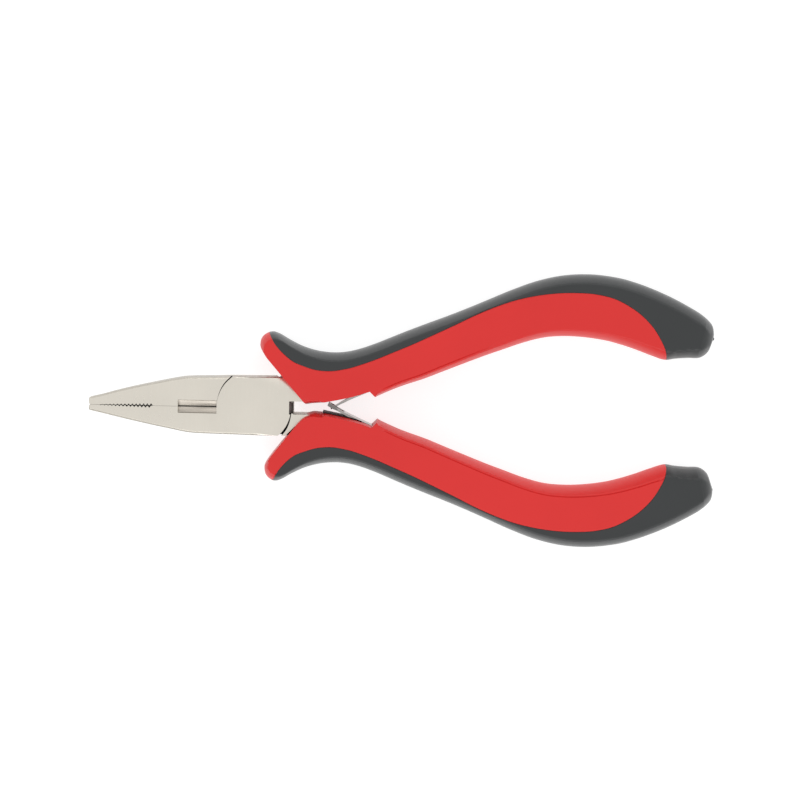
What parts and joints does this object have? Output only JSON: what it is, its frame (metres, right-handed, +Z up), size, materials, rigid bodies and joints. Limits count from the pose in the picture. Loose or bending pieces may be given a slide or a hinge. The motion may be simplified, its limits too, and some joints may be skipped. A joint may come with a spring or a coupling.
{
  "type": "long nose pliers",
  "caption": "Small spring-opened long nose pliers with serrated tapered jaws, a side cutter, two-colour moulded handles and crossed leaf springs.",
  "frame": {"origin": "centre of the flat underside that the pliers lie on, under the middle of the whole object's box", "axes": "pliers lie flat; +X runs from the jaw tips to the handle ends, +Y to the handle that belongs to the lower jaw, +Z up out of the table, parallel to the joint's axis"},
  "size_m": [0.125, 0.0548, 0.0096],
  "materials": {
    "nickel_plated_steel_a": "satin nickel plate",
    "nickel_plated_steel_b": "satin nickel plate",
    "rivet_steel": "ground flush, satin",
    "red_hard_plastic_a": "moulded, half gloss",
    "red_hard_plastic_b": "moulded, half gloss",
    "grey_soft_grip_a": "matt thermoplastic rubber",
    "grey_soft_grip_b": "matt thermoplastic rubber",
    "spring_steel_a": "bright strip",
    "spring_steel_b": "bright strip"
  },
  "bodies": {
    "front_half": {"jaw_half_lower": "nickel_plated_steel_a", "pivot_rivet": "rivet_steel", "handle_core_upper": "red_hard_plastic_a", "soft_grip_upper": "grey_soft_grip_a"},
    "back_half": {"jaw_half_upper": "nickel_plated_steel_b", "handle_core_lower": "red_hard_plastic_b", "soft_grip_lower": "grey_soft_grip_b"},
    "upper_leaf": {"spring_leaf_upper": "spring_steel_a"},
    "lower_leaf": {"spring_leaf_lower": "spring_steel_b"}
  },
  "joints": [
    {"name": "main_pivot", "type": "hinge", "parent": "front_half", "child": "back_half", "pos_m": [-0.02946, 0, 0.0048], "axis": [0, 0, -1], "range_deg": [0, 16], "stiffness_Nm_per_rad": 0.4, "springref_deg": 15.99},
    {"name": "upper_leaf_root", "type": "hinge", "parent": "front_half", "child": "upper_leaf", "pos_m": [-0.00686, 0.00347, 0.0048], "axis": [0, 0, 1], "range_deg": [0, 24.5]},
    {"name": "lower_leaf_root", "type": "hinge", "parent": "back_half", "child": "lower_leaf", "pos_m": [-0.00626, -0.0035, 0.0048], "axis": [0, 0, -1], "range_deg": [0, 24.5]}
  ],
  "couplings": [
    {"joint": "upper_leaf_root", "follows": "main_pivot", "ratio": 1.5},
    {"joint": "lower_leaf_root", "follows": "main_pivot", "ratio": 1.5}
  ]
}
